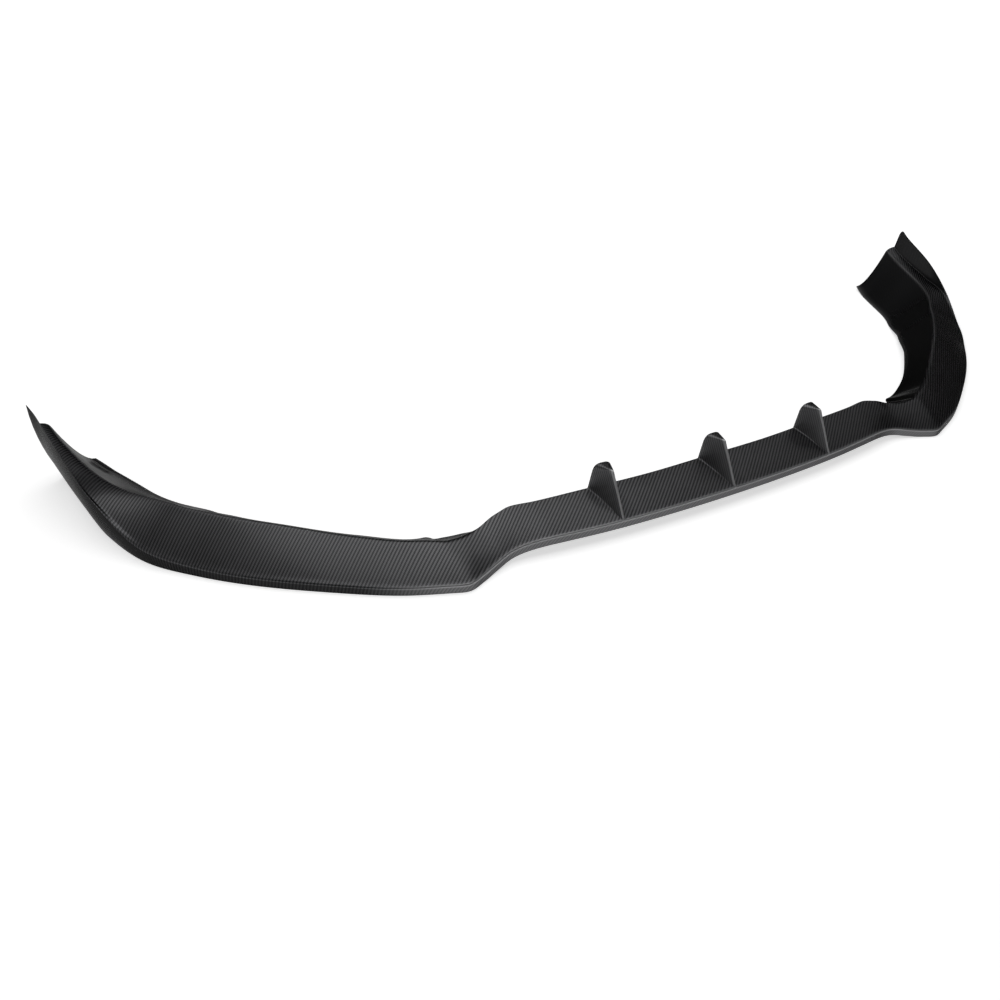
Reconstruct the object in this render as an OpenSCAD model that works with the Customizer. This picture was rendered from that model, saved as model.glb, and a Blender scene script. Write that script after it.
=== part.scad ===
// Front splitter lip for a car bumper, one moulded shell resting on the ground.
// The middle is a rising deck with three upright fins. On each side a wing
// sweeps back, with an outer wall that grows into a raised blade, a narrow deck
// and an inner flange that falls to the ground. Sizes are in millimetres, the
// nose of the lip looks along -Y and the ground is Z = 0.

/* [Overall] */
// Width across the tips of the two blades
overall_w = 1766; // [1600:1:1900]
// How far the wings run back behind the front corners
wing_sweep = 526; // [460:1:600]
// Thickness of the moulded shell
shell_t = 2.4; // [1.8:0.1:3.2]
// Rounding of the front crease and of the blade top
edge_r = 2.2; // [1.4:0.1:3]

/* [Middle section] */
// Gap between the ground and the underside of the nose
nose_lift = 15; // [8:0.5:24]
// Height of the upright band along the front edge
band_h = 12; // [8:0.5:18]
// Depth of the deck from the front band to the rear edge
deck_d = 65; // [55:0.5:85]
// Height of the rear edge of the deck above the ground
deck_h = 50; // [44:0.5:62]
// How much the deck swells above a straight line
deck_swell = 1.6; // [0:0.1:4]
// How far the rear edge of the shell turns down
hem_h = 3; // [3:0.1:5]

/* [Wings] */
// Height of the blade tips above the ground
tip_h = 139; // [115:1:150]
// Height of the wing ridge where the wing ends
ridge_h = 90; // [80:1:100]
// Widest run of the inner flange, measured level
flange_w = 71; // [60:1:85]
// How far the flange foot rises from the ground between nose and wing
foot_lift = 17; // [8:0.5:22]
// Outward swell of the outer wall at the wing ends
blade_swell = 7.5; // [2:0.1:9]
// Depth of the step behind the blade
blade_step = 37; // [25:1:45]
// Rounding of the upper corner at the end of a blade
tip_r = 14; // [6:0.5:16]

/* [Fins] */
// Distance between neighbouring fins
fin_pitch = 189; // [150:1:210]
// Height of a fin above the rear edge of the deck
fin_h = 38; // [25:0.5:50]
// Width of a fin on the deck at its rear
fin_base_w = 40; // [26:0.5:42]
// Width of a fin across the rear of its top
fin_top_w = 25; // [12:0.5:26]
// Width of the leading edge of a fin
fin_edge_w = 2.6; // [2:0.1:4]

/* [Hidden] */
half_w = overall_w / 2;

// Plan of the foot of the front edge at each station, from the middle to the
// end of a wing, as shares of the half width and of the sweep.
plan_x = half_w * [0, 0.114, 0.227, 0.330, 0.370, 0.400, 0.430, 0.455, 0.482, 0.508,
                   0.578, 0.654, 0.754, 0.829, 0.8905, 0.933, 0.9545, 0.973, 0.981];
plan_y = wing_sweep * [0.004, 0.007, 0.017, 0.036, 0.046, 0.048, 0.033, 0.016, 0, 0.013,
                       0.063, 0.139, 0.254, 0.361, 0.475, 0.631, 0.774, 0.922, 1];
// Plan angle of each section plane, turned inward from straight back.
plan_a = [0, 0, 0, 0, 0, 0, 0, 0, 0, 8, 30, 33.4, 37, 42, 58.6, 68.5, 78, 79.4, 67.7];
// Underside of the front edge above the ground.
foot_z = nose_lift * [1, 1, 1, 1, 0.83, 0.53, 0.2, 0.03, 0, 0, 0, 0, 0, 0, 0, 0, 0, 0, 0];
// Height of the outer wall above its foot: the band, then the rising blade.
band_z = band_h * [1, 1, 1, 1, 1, 1, 1, 1, 1, 1, 1, 1.04, 1.08, 1.25, 0, 0, 0, 0, 0];
blade_z = tip_h * [0, 0, 0, 0, 0, 0, 0, 0, 0, 0, 0, 0, 0, 0, 0.173, 0.461, 0.727, 0.906, 1];
wall_z = band_z + blade_z;
// Outward swell of the wall halfway up.
wall_swell = blade_swell * [0, 0, 0, 0, 0, 0, 0, 0, 0, 0, 0, 0, 0, 0, 0.1, 0.4, 0.7, 0.9, 1];
// Outward lean of the wall, as run over rise.
wall_lean = [0, 0, 0, 0, 0, 0, 0, 0, 0, 0, 0, 0, 0, 0, 0.06, 0.094, 0.102, 0.103, 0.138];
// Depth of the step from the blade down to the deck behind it.
step_z = blade_step * [0, 0, 0, 0, 0, 0, 0, 0, 0, 0, 0, 0, 0, 0, 0, 0.14, 0.73, 0.95, 1];
// Ridge at the inner side of the deck: distance from the front foot and height.
ridge_s = deck_d * [1, 0.977, 0.969, 0.9, 0.877, 0.8, 0.815, 0.854, 0.962, 0.923,
                    0.928, 0.986, 1.05, 1.03, 0.975, 0.56, 0.28, 0.123, 0.054];
ridge_z = concat(deck_h * [0.955, 0.955, 0.98, 1, 1.02, 0.95, 0.8],
                 ridge_h * [0.428, 0.439, 0.456, 0.472, 0.5, 0.572, 0.611, 0.639, 0.7, 0.767,
                            0.889, 1]);
// Run of the flange from the ridge to its foot. The middle has only the hem.
hem_s = hem_h / 2;
hem_run = [for (i = [0:6]) hem_s];
flange_s = concat(hem_run, flange_w * [0.338, 0.606, 0.69, 0.613, 0.521, 0.601, 0.738, 0.825,
                                       0.99, 0.97, 0.845, 0.69]);
hem_z = [for (i = [0:6]) ridge_z[i] - hem_h];
flange_z = concat(hem_z, foot_lift * [1.41, 0.76, 0.62, 0.65, 1, 1, 0.68, 0.53],
                  shell_t * [1, 1, 1, 3.3]);
// How strongly the flange hollows toward its foot, one is a straight fall.
flange_p = [1, 1, 1, 1, 1, 1, 1, 1.1, 1.15, 1.15, 1.15, 1.15, 1.15, 1.2, 1.2, 1.25, 1.35, 1.6, 1.75];

keys = len(plan_x);
last = keys - 1;
// Running length along the front foot up to each station.
step_len = [for (i = [0:last])
                i == 0 ? 0 : norm([plan_x[i] - plan_x[i - 1], plan_y[i] - plan_y[i - 1]])];
key_p = [for (i = 0, run = 0; i <= last; i = i + 1, run = run + (i <= last ? step_len[i] : 0)) run];

function lerp(a, b, t) = a + (b - a) * t;
function clamp(v, low, high) = min(max(v, low), high);

// Slope of a curve at station i. The middle station uses its mirror image.
function slope_free(list, i, odd) =
    i == 0 ? (odd ? list[1] / key_p[1] : 0)
    : i == last ? (list[i] - list[i - 1]) / (key_p[i] - key_p[i - 1])
    : (list[i + 1] - list[i - 1]) / (key_p[i + 1] - key_p[i - 1]);
// The same, kept from overshooting between stations.
function slope_calm(list, i) =
    i == 0 ? 0
    : i == last ? (list[i] - list[i - 1]) / (key_p[i] - key_p[i - 1])
    : let (a = (list[i] - list[i - 1]) / (key_p[i] - key_p[i - 1]),
           b = (list[i + 1] - list[i]) / (key_p[i + 1] - key_p[i]))
      a * b <= 0 ? 0 : 2 * a * b / (a + b);
function span_of(p) = clamp(len([for (q = key_p) if (q <= p) 1]) - 1, 0, last - 1);
function cubic(y0, y1, m0, m1, h, t) =
    (2 * t ^ 3 - 3 * t ^ 2 + 1) * y0 + (t ^ 3 - 2 * t ^ 2 + t) * h * m0
    + (3 * t ^ 2 - 2 * t ^ 3) * y1 + (t ^ 3 - t ^ 2) * h * m1;
function free_at(list, p, odd) =
    let (i = span_of(p), h = key_p[i + 1] - key_p[i])
    cubic(list[i], list[i + 1], slope_free(list, i, odd), slope_free(list, i + 1, odd), h,
          (p - key_p[i]) / h);
function calm_at(list, p) =
    let (i = span_of(p), h = key_p[i + 1] - key_p[i])
    cubic(list[i], list[i + 1], slope_calm(list, i), slope_calm(list, i + 1), h,
          (p - key_p[i]) / h);

// Meeting point of two lines, each given by a point and a direction.
function meet(p, u, q, v) =
    let (d = u[0] * v[1] - u[1] * v[0], w = q - p)
    p + u * (w[0] * v[1] - w[1] * v[0]) / d;
function unit(v) = v / norm(v);
function right_of(u) = [u[1], -u[0]];

// Shares along the deck, along both sides of the wall and along the flange at
// which the section has points.
deck_shares = [0.33, 0.57, 0.8];
wall_marks = [0.33, 0.67];
wall_shares = [0, 0.33, 0.62, 0.75, 0.84, 0.92, 0.97];
flange_shares = [0.3, 0.58, 0.82];
// Share of the deck from the wall to the crease behind it, and of the points
// that hold the crease and the ridge sharp.
crease_share = 0.09;
crease_hold = 0.85;
end_share = 0.03;
// Run of the step behind the blade over its depth.
step_run = 0.11;
// Middle of the rounding on top of the wall, as a share of its two sides.
round_mid = 1 - cos(45);
// Columns of the section, and the one that lies on the ridge.
columns = 18;
ridge_col = 12;

// Share of the deck behind the crease, and the swell of the deck at share t.
function behind(t) = (t - crease_share) / (1 - crease_share);
function swell_at(t) = [0, deck_swell * 4 * t * (1 - t)];
function bulge_at(p, t) = [4 * t * (1 - t) * calm_at(wall_swell, p), 0];
// Least and most slope that the rounding of the upper edge takes.
lip_pitch = [-0.3, 0.9];
// How far the rounded end of the blade lies under its full height.
function tip_drop(p) =
    let (over = max(0, p - (key_p[last] - tip_r)))
    tip_r - sqrt(tip_r ^ 2 - over ^ 2);

// Outer skin of the section at running length p, as [distance inward, height].
function skin(p) =
    let (z0 = calm_at(foot_z, p), zw = calm_at(wall_z, p),
         foot = [0, z0], full = [-calm_at(wall_lean, p) * zw, z0 + zw],
         top = full + tip_drop(p) * [calm_at(wall_lean, p), -1],
         ridge = [calm_at(ridge_s, p), calm_at(ridge_z, p)],
         hem = [ridge[0] + calm_at(flange_s, p), calm_at(flange_z, p)],
         up = unit(top - foot), step = max(0, calm_at(step_z, p)),
         pitch = (ridge[1] - full[1]) / (ridge[0] - full[0]),
         lip = top + [edge_r, edge_r * clamp(pitch, lip_pitch[0], lip_pitch[1])],
         crease = lerp(full, ridge, crease_share) + step * [step_run, -1],
         bend = calm_at(flange_p, p))
    [foot,
     for (t = wall_marks) lerp(foot, top, t) - bulge_at(p, t),
     top - up * edge_r, top + round_mid * edge_r * (unit(lip - top) - up), lip,
     lerp(lip, crease, crease_hold), crease,
     for (t = deck_shares) lerp(crease, ridge, behind(t)) + swell_at(t),
     lerp(crease, ridge, 1 - end_share), ridge,
     for (t = concat([end_share], flange_shares, [1]))
         [lerp(ridge[0], hem[0], t), hem[1] + (ridge[1] - hem[1]) * (1 - t) ^ bend]];

// Inner skin of the same section, one shell thickness behind the outer one.
function lining(p) =
    let (o = skin(p), bend = calm_at(flange_p, p),
         foot = o[0], crease = o[7], ridge = o[ridge_col], hem = o[columns - 1],
         uw = unit([-calm_at(wall_lean, p), 1]), ud = unit(ridge - crease),
         uf = unit([hem[0] - ridge[0], bend * (hem[1] - ridge[1])]),
         ue = unit(hem - o[columns - 2]),
         wall_in = foot + [shell_t / uw[1], 0],
         knee = meet(wall_in, uw, crease + shell_t * right_of(ud), ud),
         turn = meet(crease + shell_t * right_of(ud), ud, ridge + shell_t * right_of(uf), uf),
         end_in = hem + shell_t * right_of(ue))
    [for (t = wall_shares) lerp(wall_in, knee, t) - bulge_at(p, t),
     knee,
     for (t = deck_shares) lerp(knee, turn, behind(t)) + swell_at(t),
     lerp(knee, turn, 1 - end_share), turn,
     for (t = concat([end_share], flange_shares, [1]))
         [lerp(turn[0], end_in[0], t), end_in[1] + (turn[1] - end_in[1]) * (1 - t) ^ bend]];

// Half the depth of the whole lip, so that the origin is under its middle.
mid_y = (plan_y[last] + (ridge_s[last] + flange_s[last]) * cos(plan_a[last])) / 2;

// A section point set into the plan.
function placed(p, q) =
    let (a = calm_at(plan_a, p))
    [free_at(plan_x, p, true) - q[0] * sin(a), free_at(plan_y, p, false) + q[0] * cos(a) - mid_y, q[1]];
function mirrored(q, side) = [side * q[0], q[1], q[2]];
// Closed ring of points at running length p on the left or right side.
function ring(p, side) =
    let (o = skin(p), n = lining(p))
    [for (q = o) mirrored(placed(p, q), side),
     for (i = [columns - 1:-1:0]) mirrored(placed(p, n[i]), side)];

// Share along the deck of each section point, zero on the wall and one behind
// the ridge.
col_share = [0, 0, 0, 0, 0, 0.02, 0.08, crease_share, deck_shares[0], deck_shares[1],
             deck_shares[2], 1 - end_share, 1, 1, 1, 1, 1, 1];
// Share of the deck where a fin reaches its full height.
fin_apex = deck_shares[1];
// Width of the top edge in front of there, as a share of the leading edge.
fin_thin = 0.7;
// Half widths of a fin at share t: on the deck and along its top.
function fin_foot_at(t) = lerp(fin_edge_w, fin_base_w, t) / 2;
function fin_top_at(t) =
    lerp(fin_edge_w * fin_thin, fin_top_w, max(0, t - fin_apex) / (1 - fin_apex)) / 2;
// Rise of the fin top above the deck at share t.
function fin_rise(t) =
    let (base = nose_lift + band_h, peak = deck_h + fin_h, ground = lerp(base, deck_h, t))
    t <= 0 ? 0 : lerp(base, peak, min(1, t / fin_apex)) - ground - swell_at(t)[1];
// Four lines run along each flank of a fin. The first is the outer end of the
// fillet on the deck, the last the edge of the top face, with their shares of
// the rise.
flank_marks = [0, 0.06, 0.96, 1];
// Run of the fillet at the nose and at the rear of a fin.
fillet_nose = 0.8;
fillet_rear = 2.5;
// Half width of the top face left by its rounded edges.
top_left = 0.62;
function flank_w(j, t) =
    let (b = fin_foot_at(t), w = fin_top_at(t))
    j == 0 ? b + lerp(fillet_nose, fillet_rear, t) : j == 3 ? w * top_left : lerp(b, w, flank_marks[j]);
function flank_z(j, t) = fin_rise(t) * flank_marks[j];
// The fin is hollow where it is wide enough to line. The hollow ends under the
// top by the first share of the shell thickness, and grows over a few
// millimetres of half width.
roof_share = 1.1;
line_start = 1;
line_grow = 4;
line_least = 0.25;
function inner_w(w) = max(w - shell_t, line_least * w);
function inner_z(j, t) =
    max(0, flank_z(j, t) - roof_share * shell_t)
    * clamp((fin_foot_at(t) - shell_t - line_start) / line_grow, 0, 1);
function lifted(q, dx, rise) = [dx, q[1], q[2] + rise];
// Ring through a fin at centre x on line j of its left or right flank.
function fin_ring(x, j, side) =
    [for (c = [0:columns - 1])
         let (t = col_share[c], px = x + side * flank_w(j, t), p = abs(px) / plan_x[1] * key_p[1],
              q = placed(p, skin(p)[c]))
         lifted(q, px, flank_z(j, t)),
     for (c = [columns - 1:-1:0])
         let (t = col_share[c], px = x + side * (j == 0 ? flank_w(j, t) : inner_w(flank_w(j, t))),
              p = abs(px) / plan_x[1] * key_p[1], q = placed(p, lining(p)[c]))
         lifted(q, px, inner_z(j, t))];
function fin_rings(x) =
    [for (j = [0:3]) fin_ring(x, j, -1), for (j = [3:-1:0]) fin_ring(x, j, 1)];

// Running lengths between the fins and outward along a wing.
fin_half = fin_base_w / 2 + fillet_rear;
bay = fin_pitch - 2 * fin_half;
bay_parts = 5;
inner_bay = [for (k = [1:bay_parts - 1]) fin_half + bay * k / bay_parts];
outer_start = fin_pitch + fin_half;
outer_bay = [for (k = [1:3]) lerp(outer_start, key_p[3], k / 3)];
// Number of steps between each station and the next, finer where it bends.
cuts = [0, 0, 0, 2, 2, 2, 2, 3, 3, 5, 4, 4, 4, 5, 5, 4, 4, 3];
wing_run = [for (i = [3:last - 1])
                for (k = [1:cuts[i]]) lerp(key_p[i], key_p[i + 1], k / cuts[i])];
// Angles of the rings in the rounded end of a blade.
tip_angles = [30, 55, 75, 90];
tip_run = [for (angle = tip_angles) key_p[last] - tip_r * (1 - sin(angle))];
// Least running length between the last plain ring and the rounded end.
ring_least = 1;
wing_start = [for (p = wing_run) if (p < key_p[last] - tip_r - ring_least) p];
outward = concat(outer_bay, wing_start, [key_p[last] - tip_r], tip_run);
count = len(outward);
rings = concat(
    [for (i = [count - 1:-1:0]) ring(outward[i], -1)],
    fin_rings(-fin_pitch),
    [for (i = [3:-1:0]) ring(inner_bay[i], -1)],
    fin_rings(0),
    [for (p = inner_bay) ring(p, 1)],
    fin_rings(fin_pitch),
    [for (p = outward) ring(p, 1)]);

around = 2 * columns;
function corner_of(i, c) = i * around + c % around;
// The two triangles of one cell. The left half has the mirrored diagonal.
function cell(i, c, left) =
    let (a = corner_of(i, c), b = corner_of(i, c + 1), d = corner_of(i + 1, c), e = corner_of(i + 1, c + 1))
    left ? [[a, b, d], [b, e, d]] : [[a, b, e], [a, e, d]];
module loft(rings) {
    n = len(rings);
    points = [for (r = rings) each r];
    sides = [for (i = [0:n - 2]) for (c = [0:around - 1]) each cell(i, c, i < n / 2 - 1)];
    caps = [for (c = [0:columns - 2])
                let (d = around - 1 - c)
                each [[corner_of(0, c), corner_of(0, d), corner_of(0, c + 1)],
                      [corner_of(0, c + 1), corner_of(0, d), corner_of(0, d - 1)],
                      [corner_of(n - 1, c), corner_of(n - 1, c + 1), corner_of(n - 1, d)],
                      [corner_of(n - 1, c + 1), corner_of(n - 1, d - 1), corner_of(n - 1, d)]]];
    polyhedron(points = points, faces = concat(sides, caps));
}

module splitter_lip() {
    color([0.09, 0.09, 0.1])
        loft(rings);
}

splitter_lip();
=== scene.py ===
# Front splitter lip in woven fibre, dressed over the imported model.
import bpy
import math
import numpy as np
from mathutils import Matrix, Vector


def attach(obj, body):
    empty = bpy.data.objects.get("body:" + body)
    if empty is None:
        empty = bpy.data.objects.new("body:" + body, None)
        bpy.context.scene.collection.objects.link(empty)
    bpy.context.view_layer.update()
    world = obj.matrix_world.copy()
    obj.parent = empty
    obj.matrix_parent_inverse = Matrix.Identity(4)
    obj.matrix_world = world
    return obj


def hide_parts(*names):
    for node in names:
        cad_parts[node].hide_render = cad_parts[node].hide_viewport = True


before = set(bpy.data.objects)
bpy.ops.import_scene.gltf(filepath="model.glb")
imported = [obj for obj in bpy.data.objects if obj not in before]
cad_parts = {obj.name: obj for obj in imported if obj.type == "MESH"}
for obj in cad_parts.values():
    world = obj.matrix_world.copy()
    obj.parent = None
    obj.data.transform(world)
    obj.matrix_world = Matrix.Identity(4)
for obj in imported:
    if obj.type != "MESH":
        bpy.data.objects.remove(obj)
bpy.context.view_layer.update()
print("frame loaded, nodes:", sorted(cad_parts))

mm = 0.001

# The moulding, in millimetres. Shares in the lists run from the middle to a wing end.
lip = {
    "width": 1766, "sweep": 526, "shell": 2.4,
    "edgeRound": 2.2, "creaseRound": 1.4, "ridgeRound": 5.0, "rimRound": 0.6, "innerRound": 1.6,
    "noseLift": 15, "bandHeight": 12, "deckDepth": 65, "deckHeight": 50, "deckSwell": 1.6, "hem": 3,
    "tipHeight": 139, "ridgeHeight": 90, "flangeWidth": 71, "footLift": 17,
    "bladeSwell": 7.5, "bladeStep": 37, "tipRound": 14, "stepRun": 0.11, "creaseShare": 0.09,
    # how the skin is divided: length between rings, rings and last angle of a tip's rounding,
    # share of a line that a corner may take, and share of the rim's rounding that an end is drawn in
    "ringGap": 4.0, "tipRings": 12, "tipAngle": 88, "cornerRoom": 0.42, "endInset": 0.7,
}
halfWidth = lip["width"] / 2

# Plan of the front foot, the turn of each section and the heights along it.
planX = halfWidth * np.array([0, 0.114, 0.227, 0.330, 0.370, 0.400, 0.430, 0.455, 0.482, 0.508,
                              0.578, 0.654, 0.754, 0.829, 0.8905, 0.933, 0.9545, 0.973, 0.981])
planY = lip["sweep"] * np.array([0.004, 0.007, 0.017, 0.036, 0.046, 0.048, 0.033, 0.016, 0, 0.013,
                                 0.063, 0.139, 0.254, 0.361, 0.475, 0.631, 0.774, 0.922, 1])
planTurn = np.array([0, 0, 0, 0, 0, 0, 0, 0, 0, 8, 30, 33.4, 37, 42, 58.6, 68.5, 78, 79.4, 67.7])
footZ = lip["noseLift"] * np.array([1, 1, 1, 1, 0.83, 0.53, 0.2, 0.03] + [0] * 11)
bandZ = lip["bandHeight"] * np.array([1] * 11 + [1.04, 1.08, 1.25] + [0] * 5)
bladeZ = lip["tipHeight"] * np.array([0] * 14 + [0.173, 0.461, 0.727, 0.906, 1])
wallZ = bandZ + bladeZ
wallSwell = lip["bladeSwell"] * np.array([0] * 14 + [0.1, 0.4, 0.7, 0.9, 1])
wallLean = np.array([0] * 14 + [0.06, 0.094, 0.102, 0.103, 0.138])
stepZ = lip["bladeStep"] * np.array([0] * 15 + [0.14, 0.73, 0.95, 1])
ridgeS = lip["deckDepth"] * np.array([1, 0.977, 0.969, 0.9, 0.877, 0.8, 0.815, 0.854, 0.962, 0.923,
                                      0.928, 0.986, 1.05, 1.03, 0.975, 0.56, 0.28, 0.123, 0.054])
deckRidge = lip["deckHeight"] * np.array([0.955, 0.955, 0.98, 1, 1.02, 0.95, 0.8])
wingRidge = lip["ridgeHeight"] * np.array([0.428, 0.439, 0.456, 0.472, 0.5, 0.572, 0.611,
                                           0.639, 0.7, 0.767, 0.889, 1])
ridgeZ = np.concatenate([deckRidge, wingRidge])
wingFlange = lip["flangeWidth"] * np.array([0.338, 0.606, 0.69, 0.613, 0.521, 0.601, 0.738,
                                            0.825, 0.99, 0.97, 0.845, 0.69])
flangeS = np.concatenate([np.full(len(deckRidge), lip["hem"] / 2), wingFlange])
wingFoot = lip["footLift"] * np.array([1.41, 0.76, 0.62, 0.65, 1, 1, 0.68, 0.53])
endFoot = lip["shell"] * np.array([1, 1, 1, 3.3])
flangeZ = np.concatenate([deckRidge - lip["hem"], wingFoot, endFoot])
flangeBend = np.array([1] * 7 + [1.1, 1.15, 1.15, 1.15, 1.15, 1.15, 1.2, 1.2, 1.25, 1.35, 1.6, 1.75])

# Running length of the front foot at each station.
keyP = np.concatenate([[0], np.cumsum(np.hypot(np.diff(planX), np.diff(planY)))])


def hermite(y, slopes, p):
    i = int(np.clip(np.searchsorted(keyP, p, side="right") - 1, 0, len(keyP) - 2))
    h = keyP[i + 1] - keyP[i]
    t = (p - keyP[i]) / h
    return ((2 * t ** 3 - 3 * t ** 2 + 1) * y[i] + (t ** 3 - 2 * t ** 2 + t) * h * slopes[i]
            + (3 * t ** 2 - 2 * t ** 3) * y[i + 1] + (t ** 3 - t ** 2) * h * slopes[i + 1])


def freeSlopes(y, odd):
    # smooth slopes, for a list that changes sign at the middle or one that mirrors
    slopes = np.zeros(len(y))
    slopes[0] = y[1] / keyP[1] if odd else 0
    slopes[1:-1] = (y[2:] - y[:-2]) / (keyP[2:] - keyP[:-2])
    slopes[-1] = (y[-1] - y[-2]) / (keyP[-1] - keyP[-2])
    return slopes


def calmSlopes(y):
    # never overshoots between stations
    steps = np.diff(y) / np.diff(keyP)
    slopes = np.zeros(len(y))
    for i in range(1, len(y) - 1):
        a, b = steps[i - 1], steps[i]
        slopes[i] = 2 * a * b / (a + b) if a * b > 0 else 0
    slopes[-1] = steps[-1]
    return slopes


calmLists = {"turn": planTurn, "foot": footZ, "wall": wallZ, "swell": wallSwell, "lean": wallLean,
             "step": stepZ, "ridgeS": ridgeS, "ridgeZ": ridgeZ, "flangeS": flangeS, "flangeZ": flangeZ,
             "bend": flangeBend}
calmTable = {name: (y, calmSlopes(y)) for name, y in calmLists.items()}
planTableX = (planX, freeSlopes(planX, True))
planTableY = (planY, freeSlopes(planY, False))
lastTurn = math.radians(planTurn[-1])
midY = (planY[-1] + (ridgeS[-1] + flangeS[-1]) * math.cos(lastTurn)) / 2


def at(name, p):
    return hermite(*calmTable[name], p)


def unit(v):
    return v / np.linalg.norm(v)


def rightOf(v):
    return np.array([v[1], -v[0]])


def meet(p, u, q, v):
    # where a line from p along u meets a line from q along v
    w = q - p
    return p + u * (w[0] * v[1] - w[1] * v[0]) / (u[0] * v[1] - u[1] * v[0])


def arc(a, b, c, t):
    # curve from a to c that leaves and arrives along the lines to b
    return (1 - t) ** 2 * a + 2 * t * (1 - t) * b + t ** 2 * c


def bowed(a, b, bow, count):
    t = np.linspace(0, 1, count)[:, None]
    return a + (b - a) * t + 4 * t * (1 - t) * np.array(bow)


def falling(a, b, bend, count):
    t = np.linspace(0, 1, count)
    return np.stack([a[0] + (b[0] - a[0]) * t, b[1] + (a[1] - b[1]) * (1 - t) ** bend], 1)


# The lines of a section in order: outer skin first, then back along the lining.
wallLine, stepLine, deckLine, flangeLine, hemLine, flangeBack, deckBack, wallBack, footLine = range(9)
traced = {"wall": 14, "deck": 18, "flange": 18, "straight": 6}


def sectionLines(p):
    foot = np.array([0, at("foot", p)])
    height = at("wall", p)
    lean = at("lean", p)
    outward = [-at("swell", p), 0]
    upward = [0, lip["deckSwell"]]
    bend = at("bend", p)
    step = max(0, at("step", p))
    full = foot + [-lean * height, height]
    over = min(max(0, p - (keyP[-1] - lip["tipRound"])), lip["tipRound"])
    drop = lip["tipRound"] - math.sqrt(lip["tipRound"] ** 2 - over ** 2)
    top = full + drop * np.array([lean, -1])
    ridge = np.array([at("ridgeS", p), at("ridgeZ", p)])
    hem = np.array([ridge[0] + at("flangeS", p), at("flangeZ", p)])
    crease = full + (ridge - full) * lip["creaseShare"] + step * np.array([lip["stepRun"], -1])
    flange = falling(ridge, hem, bend, traced["flange"])
    wallUp = unit(np.array([-lean, 1]))
    deckUp = unit(ridge - crease)
    flangeDown = unit(np.array([hem[0] - ridge[0], bend * (hem[1] - ridge[1])]))
    hemOut = unit(flange[-1] - flange[-2])
    thick = lip["shell"]
    footIn = foot + [thick / wallUp[1], 0]
    deckIn = crease + thick * rightOf(deckUp)
    knee = meet(footIn, wallUp, deckIn, deckUp)
    turn = meet(deckIn, deckUp, ridge + thick * rightOf(flangeDown), flangeDown)
    hemIn = hem + thick * rightOf(hemOut)
    straight = np.linspace(0, 1, traced["straight"])[:, None]
    return [bowed(foot, top, outward, traced["wall"]),
            top + (crease - top) * straight,
            bowed(crease, ridge, upward, traced["deck"]),
            flange,
            hem + (hemIn - hem) * straight,
            falling(turn, hemIn, bend, traced["flange"])[::-1],
            bowed(knee, turn, upward, traced["deck"])[::-1],
            bowed(footIn, knee, outward, traced["wall"])[::-1],
            footIn + (foot - footIn) * straight]


# Points along each line, and the rounding of the corner after it.
lineCounts = [9, 4, 18, 16, 2, 12, 12, 6, 2]
cornerRounds = ["edgeRound", "creaseRound", "ridgeRound", "rimRound", "rimRound",
                "innerRound", "innerRound", "rimRound", "rimRound"]
cornerPoints = [5, 3, 6, 2, 2, 2, 2, 2, 2]


def lengthsOf(line):
    return np.concatenate([[0], np.cumsum(np.hypot(*np.diff(line, axis=0).T))])


def along(line, marks, lengths):
    return np.stack([np.interp(marks, lengths, line[:, 0]), np.interp(marks, lengths, line[:, 1])], 1)


def roundedLoop(lines):
    # closed loop with rounded corners, and the line that each point belongs to, halves for corners
    sizes = [lengthsOf(line) for line in lines]
    total = len(lines)
    cuts = []
    for i in range(total):
        room = lip["cornerRoom"] * min(sizes[i][-1], sizes[(i + 1) % total][-1])
        cuts.append(min(lip[cornerRounds[i]], room))
    loop = []
    owner = []
    for i, line in enumerate(lines):
        marks = np.linspace(cuts[i - 1], sizes[i][-1] - cuts[i], lineCounts[i])
        points = along(line, marks, sizes[i])
        loop.extend(points)
        owner.extend([i] * lineCounts[i])
        following = (i + 1) % total
        nextStart = along(lines[following], [cuts[i]], sizes[following])[0]
        for k in range(1, cornerPoints[i] + 1):
            loop.append(arc(points[-1], line[-1], nextStart, k / (cornerPoints[i] + 1)))
            owner.append(i + 0.5)
    return np.array(loop), np.array(owner)


def inset(loop, depth):
    # moves a loop into its own inside by depth
    before = loop - np.roll(loop, 1, axis=0)
    after = np.roll(loop, -1, axis=0) - loop
    side = before / np.linalg.norm(before, axis=1)[:, None]
    side = side + after / np.linalg.norm(after, axis=1)[:, None]
    side /= np.linalg.norm(side, axis=1)[:, None]
    return loop + depth * np.stack([side[:, 1], -side[:, 0]], 1)


def planPoint(p, reach):
    turn = math.radians(at("turn", p))
    x = hermite(*planTableX, p) - reach * math.sin(turn)
    y = hermite(*planTableY, p) + reach * math.cos(turn) - midY
    return np.stack([x, y], -1)


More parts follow.
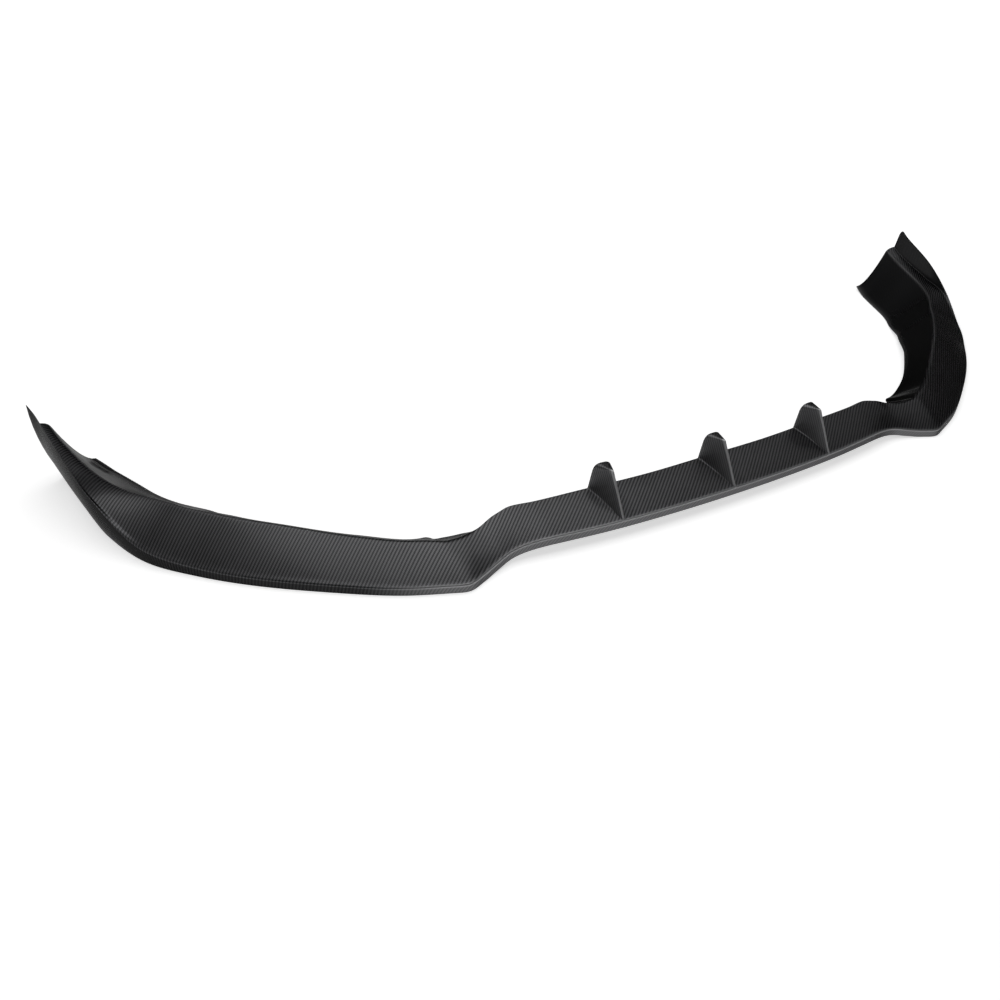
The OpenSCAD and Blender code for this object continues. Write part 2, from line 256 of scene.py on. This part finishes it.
# Painted light on the skin by place: painted highlights along edges, strength of the weave, and painted
# shade or light that scales the colour. Widths in millimetres, places as shares of the half width.
paintedLightAndWeave = {
    "middleEnd": 0.50, "middleGone": 0.64, "wingStart": 0.58, "wingFull": 0.84,
    # painted highlight along the band's top edge, a lighter painted band face in the middle, painted
    # shade on the wing walls
    "bandEdgeHighlight": 0.6, "bandEdgeWidth": 1.8, "bandFacePaintedLight": 0.11, "wallPaintedShade": 0.3,
    # painted highlights along the ridge and the hem of the wings
    "ridgeHighlight": 0.18, "ridgeWidth": 1.8, "hemHighlight": 0.35, "hemWidth": 5.0,
    # painted shade on the flange, darkest where it starts
    "flangeWeave": 0.25, "flangePaintedShadeStart": 0.15, "flangePaintedShadeFull": 0.7,
    # painted shade on the blade's inner face
    "bladePaintedShade": 0.3, "bladeWeave": 0.5, "bladeStep": 8,
    # painted highlight on the fins' leading edges, and the fins painted lighter
    "finEdgeHighlight": 0.8, "finEdgeWidth": 2.2, "finWeave": 0.55, "finPaintedLight": 1.6, "finSoft": 0.12,
}


def eased(start, end, x):
    t = np.clip((x - start) / (end - start), 0, 1)
    return t * t * (3 - 2 * t)


def paintedLightAndWeaveOf(p, loop, owner):
    # painted edge highlight, weave strength and painted shade of each point of a section
    lengths = lengthsOf(loop)

    def near(line, width):
        place = lengths[owner == line + 0.5].mean()
        return np.exp(-((lengths - place) / width) ** 2)

    out = hermite(*planTableX, p) / halfWidth
    middle = 1 - eased(paintedLightAndWeave["middleEnd"], paintedLightAndWeave["middleGone"], out)
    wing = eased(paintedLightAndWeave["wingStart"], paintedLightAndWeave["wingFull"], out)
    step = eased(0, paintedLightAndWeave["bladeStep"], at("step", p))
    outer = owner < flangeBack
    face = owner < wallLine + 0.5
    blade = (owner > wallLine + 0.5) & (owner < stepLine + 0.5)
    flange = (owner > deckLine + 0.5) & outer
    wall = face | (owner > wallBack)
    # painted highlights: along the band's top edge and over the band face in the middle, along the ridge
    # and the hem on the wings
    edge = np.maximum.reduce([
        near(wallLine, paintedLightAndWeave["bandEdgeWidth"]) * paintedLightAndWeave["bandEdgeHighlight"] * middle,
        face * paintedLightAndWeave["bandFacePaintedLight"] * middle,
        near(deckLine, paintedLightAndWeave["ridgeWidth"]) * paintedLightAndWeave["ridgeHighlight"] * wing,
        near(flangeLine, paintedLightAndWeave["hemWidth"]) * paintedLightAndWeave["hemHighlight"] * wing])
    weaveHere = np.where(flange, paintedLightAndWeave["flangeWeave"], 1.0)
    weaveHere = np.where(blade, 1 + (paintedLightAndWeave["bladeWeave"] - 1) * step, weaveHere)
    # painted shade on the flange, the blade's inner face and the wing walls
    flangePaintedShade = paintedLightAndWeave["flangePaintedShadeStart"] + (paintedLightAndWeave["flangePaintedShadeFull"] - paintedLightAndWeave["flangePaintedShadeStart"]) * wing
    paintedShade = np.where(flange, flangePaintedShade, 1.0)
    paintedShade = np.where(blade, 1 + (paintedLightAndWeave["bladePaintedShade"] - 1) * step, paintedShade)
    paintedShade = np.where(wall, 1 + (paintedLightAndWeave["wallPaintedShade"] - 1) * (1 - middle), paintedShade)
    return np.column_stack([edge * outer, weaveHere, paintedShade])


def clothPoint(p, loop):
    # unrolled length of the skin, laid flat in the plan, carries the cloth
    lengths = lengthsOf(loop)
    return planPoint(p, lengths - lengths[lineCounts[wallLine] - 1])


def ringAt(p, side, drawnIn=0):
    # points, cloth places and dress of one section on a side of -1 or 1
    loop, owner = roundedLoop(sectionLines(p))
    cloth = clothPoint(p, loop)
    paintedLightAndWeaveRows = paintedLightAndWeaveOf(p, loop, owner)
    loop = inset(loop, drawnIn)
    flat = planPoint(p, loop[:, 0])
    points = np.column_stack([side * flat[:, 0], flat[:, 1], loop[:, 1]])
    return points, np.column_stack([side * cloth[:, 0], cloth[:, 1]]), paintedLightAndWeaveRows


# Fins, in millimetres. Shares run along the deck from the nose to the rear edge.
fins = {
    "pitch": 189, "height": 38, "base": 40, "top": 25, "edge": 2.6, "thin": 0.7, "apexShare": 0.57,
    "filletNose": 0.8, "filletRear": 2.5, "topRound": 0.8, "cornerRoom": 0.4,
    "filletPoints": 5, "flankPoints": 7, "shoulderPoints": 8, "crownPoints": 3,
    # the lining under a fin: roof in shells, where the hollow starts and grows, most of a half width
    "roofShare": 1.1, "hollowFrom": 1, "hollowGrow": 4, "liningMost": 0.75,
    # points closer than this along the front foot share a section
    "samePlace": 1e-9,
}


def footOf(share):
    # half width of a fin's foot at a share along the deck
    return (fins["edge"] + (fins["base"] - fins["edge"]) * share) / 2


def finRise(t):
    base = lip["noseLift"] + lip["bandHeight"]
    peak = lip["deckHeight"] + fins["height"]
    ground = base + (lip["deckHeight"] - base) * t + 4 * t * (1 - t) * lip["deckSwell"]
    return base + (peak - base) * min(1, t / fins["apexShare"]) - ground if t > 0 else 0.0


def finProfile(t):
    # half widths and rises across one flank at share t, from the deck up to the crown
    foot = footOf(t)
    behind = max(0, t - fins["apexShare"]) / (1 - fins["apexShare"])
    thin = fins["edge"] * fins["thin"]
    top = (thin + (fins["top"] - thin) * behind) / 2
    rise = finRise(t)
    fillet = fins["filletNose"] + (fins["filletRear"] - fins["filletNose"]) * t
    outside = np.array([foot + fillet, 0])
    corner = np.array([foot, 0])
    shoulder = np.array([top, rise])
    crown = np.array([0.0, rise])
    slant = np.linalg.norm(shoulder - corner)
    low = corner + (shoulder - corner) * min(fins["cornerRoom"], fillet / max(slant, fillet))
    bow = min(fins["topRound"] * top, fins["cornerRoom"] * slant)
    high = shoulder + (corner - shoulder) * bow / max(slant, bow)
    over = shoulder + (crown - shoulder) * fins["topRound"]
    points = []
    for k in range(fins["filletPoints"]):
        points.append(arc(outside, corner, low, k / fins["filletPoints"]))
    for k in range(fins["flankPoints"]):
        points.append(low + (high - low) * k / fins["flankPoints"])
    for k in range(fins["shoulderPoints"]):
        points.append(arc(high, shoulder, over, k / fins["shoulderPoints"]))
    for k in range(fins["crownPoints"]):
        points.append(over + (crown - over) * k / fins["crownPoints"])
    return np.array(points)


def deckShare(loop, owner, lines):
    # share along the deck of every point of a section, for the fins
    top, ridge = lines[wallLine][-1], lines[flangeLine][0]
    knee, turn = lines[deckBack][-1], lines[deckBack][0]
    outer = (loop[:, 0] - top[0]) / (ridge[0] - top[0])
    inner = (loop[:, 0] - knee[0]) / (turn[0] - knee[0])
    keep = lip["creaseShare"]
    share = np.where(owner < hemLine, outer, keep + (1 - keep) * inner)
    share = np.where((owner == wallLine) | (owner > wallBack), 0, share)
    share = np.where((owner >= flangeLine) & (owner <= flangeBack), 1, share)
    return np.clip(share, 0, 1)


# Rings over the fins sit closer, each point of a ring at its own place across the fin.
middleLines = sectionLines(0)
middleLoop, middleOwner = roundedLoop(middleLines)
middleShare = deckShare(middleLoop, middleOwner, middleLines)
middlePaintedLightAndWeave = paintedLightAndWeaveOf(0, middleLoop, middleOwner)
finTable = np.array([finProfile(t) for t in middleShare])
hollowFoot = footOf(middleShare) - lip["shell"] - fins["hollowFrom"]
hollowShare = np.clip(hollowFoot / fins["hollowGrow"], 0, 1)
finLead = 1 - eased(fins["apexShare"], fins["apexShare"] + paintedLightAndWeave["finSoft"], middleShare)
runScale = keyP[1] / planX[1]


def finPaintedLightAndWeave(k, inside):
    # painted light and weave of the k-th ring of a flank, with a painted highlight on the leading edge
    # and the fin painted lighter
    widths = finTable[:, k, 0]
    rises = finTable[:, k, 1]
    away = np.hypot(widths, finTable[:, -1, 1] - rises)
    onFin = np.clip(rises / lip["shell"], 0, 1) * ~inside
    edge = paintedLightAndWeave["finEdgeHighlight"] * np.exp(-(away / paintedLightAndWeave["finEdgeWidth"]) ** 2) * finLead * onFin
    paintedLightAndWeaveRows = middlePaintedLightAndWeave.copy()
    paintedLightAndWeaveRows[:, 0] = np.maximum(paintedLightAndWeaveRows[:, 0] * (1 - onFin), edge)
    paintedLightAndWeaveRows[:, 1] += (paintedLightAndWeave["finWeave"] - 1) * onFin
    paintedLightAndWeaveRows[:, 2] += (paintedLightAndWeave["finPaintedLight"] - 1) * onFin
    return paintedLightAndWeaveRows


def finRing(centre, k, side):
    widths = finTable[:, k, 0]
    rises = finTable[:, k, 1]
    thick = lip["shell"]
    inside = middleOwner > hemLine
    lining = np.clip(rises / (2 * thick), 0, 1) * np.minimum(thick, fins["liningMost"] * widths)
    hollow = np.maximum(0, rises - fins["roofShare"] * thick) * hollowShare
    lift = np.where(inside, hollow, rises)
    x = centre + side * np.where(inside, widths - lining, widths)
    points = []
    cloth = []
    lastP = None
    for c in range(len(middleLoop)):
        p = abs(x[c]) * runScale
        # neighbours mostly share a section, so it is worked out once for them
        if lastP is None or abs(p - lastP) > fins["samePlace"]:
            loop = roundedLoop(sectionLines(p))[0]
            flat = planPoint(p, loop[:, 0])
            laid = clothPoint(p, loop)
        lastP = p
        points.append([x[c], flat[c, 1], loop[c, 1] + lift[c]])
        # the cloth climbs the flank, so its place moves on by the rise
        cloth.append([x[c] - side * rises[c], laid[c, 1]])
    return np.array(points), np.array(cloth), finPaintedLightAndWeave(k, inside)


def spread(start, end):
    count = max(1, round((end - start) / lip["ringGap"]))
    return np.linspace(start, end, count + 1)[1:]


def buildRings():
    # all rings from the left wing's end to the right wing's end
    half = fins["base"] / 2 + fins["filletRear"]
    perFlank = finTable.shape[1]
    tipStart = keyP[-1] - lip["tipRound"]
    inner = spread(half * runScale, (fins["pitch"] - half) * runScale)[:-1]
    outer = spread((fins["pitch"] + half) * runScale, tipStart)
    tipAngles = np.radians(np.linspace(0, lip["tipAngle"], lip["tipRings"])[1:])
    outer = np.append(outer, keyP[-1] - lip["tipRound"] * (1 - np.sin(tipAngles)))
    drawnIn = lip["rimRound"] * lip["endInset"]
    rings = [ringAt(keyP[-1], -1, drawnIn)]
    rings += [ringAt(p, -1) for p in outer[::-1]]
    for centre in (-fins["pitch"], 0, fins["pitch"]):
        if centre == 0:
            rings += [ringAt(p, -1) for p in inner[::-1]]
        rings += [finRing(centre, k, -1) for k in range(perFlank)]
        rings += [finRing(centre, k, 1) for k in reversed(range(perFlank))]
        if centre == 0:
            rings += [ringAt(p, 1) for p in inner]
    rings += [ringAt(p, 1) for p in outer]
    return rings + [ringAt(keyP[-1], 1, drawnIn)]


def skinFaces(count, around):
    # quads between neighbouring rings, and a face over each end
    faces = []
    for i in range(count - 1):
        a = i * around
        b = a + around
        for c in range(around):
            d = (c + 1) % around
            faces.append((a + c, a + d, b + d, b + c))
    faces.append(tuple(range(around))[::-1])
    faces.append(tuple(range((count - 1) * around, count * around)))
    return faces


def buildLip():
    rings = buildRings()
    points = np.concatenate([ring[0] for ring in rings]) * mm
    cloth = np.concatenate([ring[1] for ring in rings]) * mm
    paintedLightAndWeaveRows = np.concatenate([ring[2] for ring in rings])
    faces = skinFaces(len(rings), len(rings[0][0]))
    mesh = bpy.data.meshes.new("splitterLip")
    mesh.from_pydata(points.tolist(), [], faces)
    mesh.validate()
    layer = mesh.uv_layers.new(name="cloth")
    corners = np.empty(len(mesh.loops), dtype=np.int64)
    mesh.loops.foreach_get("vertex_index", corners)
    layer.data.foreach_set("uv", cloth[corners].ravel())
    # painted highlight, weave strength and painted shade of each point
    looks = mesh.attributes.new("paintedLightAndWeave", "FLOAT_VECTOR", "POINT")
    looks.data.foreach_set("vector", paintedLightAndWeaveRows.ravel())
    mesh.polygons.foreach_set("use_smooth", [True] * len(mesh.polygons))
    mesh.update()
    piece = bpy.data.objects.new("splitterLip", mesh)
    bpy.context.scene.collection.objects.link(piece)
    print("lip mesh:", len(points), "points,", len(faces), "faces")
    return piece


lipPiece = buildLip()
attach(lipPiece, "root")
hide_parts("splitter_lip")

# Woven fibre under a clear resin. Tow sizes in metres. Each tow runs over two others and under two.
weave = {
    "towAcross": 0.00166, "towBack": 0.00150, "repeat": 4, "over": 2,
    "dark": (0.022, 0.022, 0.023), "light": (0.094, 0.094, 0.097), "edge": (0.07, 0.07, 0.07),
    # colour of the painted highlights along edges
    "paintedHighlight": (0.60, 0.60, 0.61), "contrast": 0.8, "meanTone": 0.5,
    "metallic": 1.0, "roughness": 0.36, "coat": 0.12, "coatRoughness": 0.12,
    "bumpDepth": 0.00008, "patchScale": 14.0, "patchDetail": 3, "patchAmount": 0.2,
}


def mathStep(tree, operation, first, second=None, third=None):
    node = tree.nodes.new("ShaderNodeMath")
    node.operation = operation
    for slotIndex, value in enumerate((first, second, third)):
        if value is None:
            continue
        if isinstance(value, (int, float)):
            node.inputs[slotIndex].default_value = value
        else:
            tree.links.new(value, node.inputs[slotIndex])
    return node.outputs[0]


def splitParts(tree, vector):
    split = tree.nodes.new("ShaderNodeSeparateXYZ")
    tree.links.new(vector, split.inputs[0])
    return split.outputs


def towShape(tree, place):
    # rounded back of a tow, from 0 at its sides to 1 along its middle
    turn = mathStep(tree, "MULTIPLY", mathStep(tree, "FRACT", place), math.pi)
    return mathStep(tree, "SINE", turn)


def plainPatches(tree):
    # slow changes of tone over the moulding, about zero
    patches = tree.nodes.new("ShaderNodeTexNoise")
    patches.inputs["Scale"].default_value = weave["patchScale"]
    patches.inputs["Detail"].default_value = weave["patchDetail"]
    place = tree.nodes.new("ShaderNodeTexCoord")
    tree.links.new(place.outputs["Object"], patches.inputs["Vector"])
    amount = weave["patchAmount"]
    return mathStep(tree, "MULTIPLY_ADD", patches.outputs["Fac"], amount, -amount / 2)


def colourMix(tree, first, second, factor):
    # each colour is a plain value or an output of another node
    mix = tree.nodes.new("ShaderNodeMix")
    mix.data_type = "RGBA"
    for name, colour in (("A", first), ("B", second)):
        if isinstance(colour, tuple):
            mix.inputs[name].default_value = (*colour, 1)
        else:
            tree.links.new(colour, mix.inputs[name])
    tree.links.new(factor, mix.inputs["Factor"])
    return mix.outputs["Result"]


def wovenFibre():
    material = bpy.data.materials.new("wovenFibre")
    material.use_nodes = True
    tree = material.node_tree
    shader = tree.nodes["Principled BSDF"]
    looks = tree.nodes.new("ShaderNodeAttribute")
    looks.attribute_name = "paintedLightAndWeave"
    looksParts = splitParts(tree, looks.outputs["Vector"])
    # painted highlight, weave strength, and painted shade or light, from the points
    paintedHighlightHere, weaveHere, paintedShadeAndLightHere = looksParts["X"], looksParts["Y"], looksParts["Z"]

    # which tow lies on top at each place of the cloth, and how high
    cloth = tree.nodes.new("ShaderNodeUVMap")
    cloth.uv_map = "cloth"
    clothParts = splitParts(tree, cloth.outputs["UV"])
    across = mathStep(tree, "DIVIDE", clothParts["X"], weave["towAcross"])
    back = mathStep(tree, "DIVIDE", clothParts["Y"], weave["towBack"])
    column = mathStep(tree, "FLOOR", across)
    row = mathStep(tree, "FLOOR", back)
    phase = mathStep(tree, "FLOORED_MODULO", mathStep(tree, "SUBTRACT", column, row), weave["repeat"])
    warp = mathStep(tree, "LESS_THAN", phase, weave["over"] - 0.5)
    weft = mathStep(tree, "SUBTRACT", 1, warp)
    weftShape = mathStep(tree, "MULTIPLY", towShape(tree, back), weft)
    height = mathStep(tree, "MULTIPLY_ADD", towShape(tree, across), warp, weftShape)
    height = mathStep(tree, "MULTIPLY", height, weaveHere)

    sway = mathStep(tree, "MULTIPLY", mathStep(tree, "SUBTRACT", warp, 0.5), weaveHere)
    tone = mathStep(tree, "MULTIPLY_ADD", sway, weave["contrast"], weave["meanTone"])
    tone = mathStep(tree, "ADD", tone, plainPatches(tree))
    # the weave colour is scaled by the painted shade and light, then the painted highlight colour is
    # mixed in along edges
    shaded = tree.nodes.new("ShaderNodeVectorMath")
    shaded.operation = "SCALE"
    tree.links.new(colourMix(tree, weave["dark"], weave["light"], tone), shaded.inputs[0])
    tree.links.new(paintedShadeAndLightHere, shaded.inputs["Scale"])
    colour = colourMix(tree, shaded.outputs[0], weave["paintedHighlight"], paintedHighlightHere)
    tree.links.new(colour, shader.inputs["Base Color"])

    bump = tree.nodes.new("ShaderNodeBump")
    bump.inputs["Distance"].default_value = weave["bumpDepth"]
    tree.links.new(height, bump.inputs["Height"])
    tree.links.new(bump.outputs["Normal"], shader.inputs["Normal"])
    shader.inputs["Roughness"].default_value = weave["roughness"]
    shader.inputs["Metallic"].default_value = weave["metallic"]
    shader.inputs["Specular Tint"].default_value = (*weave["edge"], 1)
    shader.inputs["Coat Weight"].default_value = weave["coat"]
    shader.inputs["Coat Roughness"].default_value = weave["coatRoughness"]
    return material


lipPiece.data.materials.append(wovenFibre())
print("woven fibre set")

# Floor, light and camera. Sizes in metres.
studio = {
    "floorSize": 60.0, "floorColour": (0.8, 0.8, 0.8), "floorRoughness": 0.9,
    "floorGlow": 0.62, "farGlow": 0.5, "nearReach": 0.9, "farReach": 2.6, "worldGrey": 0.13,
    "keyPlace": (-0.15, 0.3, 2.6), "keySize": 3.0, "keyPower": 38.0,
    "sidePlace": (2.6, 0.5, 2.2), "sideSize": 2.0, "sidePower": 4.5,
    "fillPlace": (-2.4, -0.1, 0.75), "fillSize": 1.2, "fillPower": 2.0,
}


def floorTopUp(tree):
    # what the camera and shiny things see of the floor is topped up to white, its shadow stays
    seen = tree.nodes.new("ShaderNodeLightPath").outputs
    seenHere = mathStep(tree, "MAXIMUM", seen["Is Camera Ray"], seen["Is Glossy Ray"])
    seenHere = mathStep(tree, "MAXIMUM", seenHere, seen["Is Transmission Ray"])
    # the lamps fade with distance, so the top-up grows away from the part
    place = tree.nodes.new("ShaderNodeTexCoord")
    reach = tree.nodes.new("ShaderNodeVectorMath")
    reach.operation = "LENGTH"
    tree.links.new(place.outputs["Object"], reach.inputs[0])
    growth = tree.nodes.new("ShaderNodeMapRange")
    growth.inputs["From Min"].default_value = studio["nearReach"]
    growth.inputs["From Max"].default_value = studio["farReach"]
    growth.inputs["To Min"].default_value = studio["floorGlow"]
    growth.inputs["To Max"].default_value = studio["floorGlow"] + studio["farGlow"]
    tree.links.new(reach.outputs["Value"], growth.inputs["Value"])
    return mathStep(tree, "MULTIPLY", seenHere, growth.outputs["Result"])


def plainFloor():
    size = studio["floorSize"] / 2
    corners = [(-size, -size, 0), (size, -size, 0), (size, size, 0), (-size, size, 0)]
    mesh = bpy.data.meshes.new("floor")
    mesh.from_pydata(corners, [], [(0, 1, 2, 3)])
    floor = bpy.data.objects.new("floor", mesh)
    bpy.context.scene.collection.objects.link(floor)
    material = bpy.data.materials.new("paleFloor")
    material.use_nodes = True
    tree = material.node_tree
    shader = tree.nodes["Principled BSDF"]
    shader.inputs["Base Color"].default_value = (*studio["floorColour"], 1)
    shader.inputs["Roughness"].default_value = studio["floorRoughness"]
    shader.inputs["Specular IOR Level"].default_value = 0
    shader.inputs["Emission Color"].default_value = (1, 1, 1, 1)
    tree.links.new(floorTopUp(tree), shader.inputs["Emission Strength"])
    mesh.materials.append(material)


def softLamp(name):
    # a round lamp that faces the middle of the part
    data = bpy.data.lights.new(name + "Lamp", "AREA")
    data.shape = "DISK"
    data.size = studio[name + "Size"]
    data.energy = studio[name + "Power"]
    lamp = bpy.data.objects.new(name + "Lamp", data)
    bpy.context.scene.collection.objects.link(lamp)
    lamp.location = studio[name + "Place"]
    toPart = -Vector(studio[name + "Place"])
    lamp.rotation_euler = toPart.to_track_quat("-Z", "Y").to_euler()


def plainWorld():
    world = bpy.data.worlds.new("studioRoom")
    bpy.context.scene.world = world
    world.use_nodes = True
    grey = studio["worldGrey"]
    world.node_tree.nodes["Background"].inputs["Color"].default_value = (grey, grey, grey, 1)


# Camera of the photograph: stands in front of the left half and looks down and to the right.
# Place and far end in metres, angles in degrees, focal length and frame in pixels, sensor in millimetres.
view = {
    "place": (-0.7608, -0.73427 - midY * mm, 0.7039), "yaw": 27.13265, "pitch": 34.88422,
    "focal": 834.93, "frame": 1000, "sensor": 36, "farEnd": 200,
}


def photoCamera():
    data = bpy.data.cameras.new("photoCamera")
    data.sensor_width = view["sensor"]
    data.lens = view["sensor"] * view["focal"] / view["frame"]
    data.clip_end = view["farEnd"]
    camera = bpy.data.objects.new("photoCamera", data)
    bpy.context.scene.collection.objects.link(camera)
    camera.location = view["place"]
    camera.rotation_euler = (math.radians(90 - view["pitch"]), 0, -math.radians(view["yaw"]))
    bpy.context.scene.camera = camera


plainFloor()
for lampName in ("key", "side", "fill"):
    softLamp(lampName)
plainWorld()
photoCamera()
bpy.context.scene.view_settings.view_transform = "Standard"
print("floor, light and camera set")
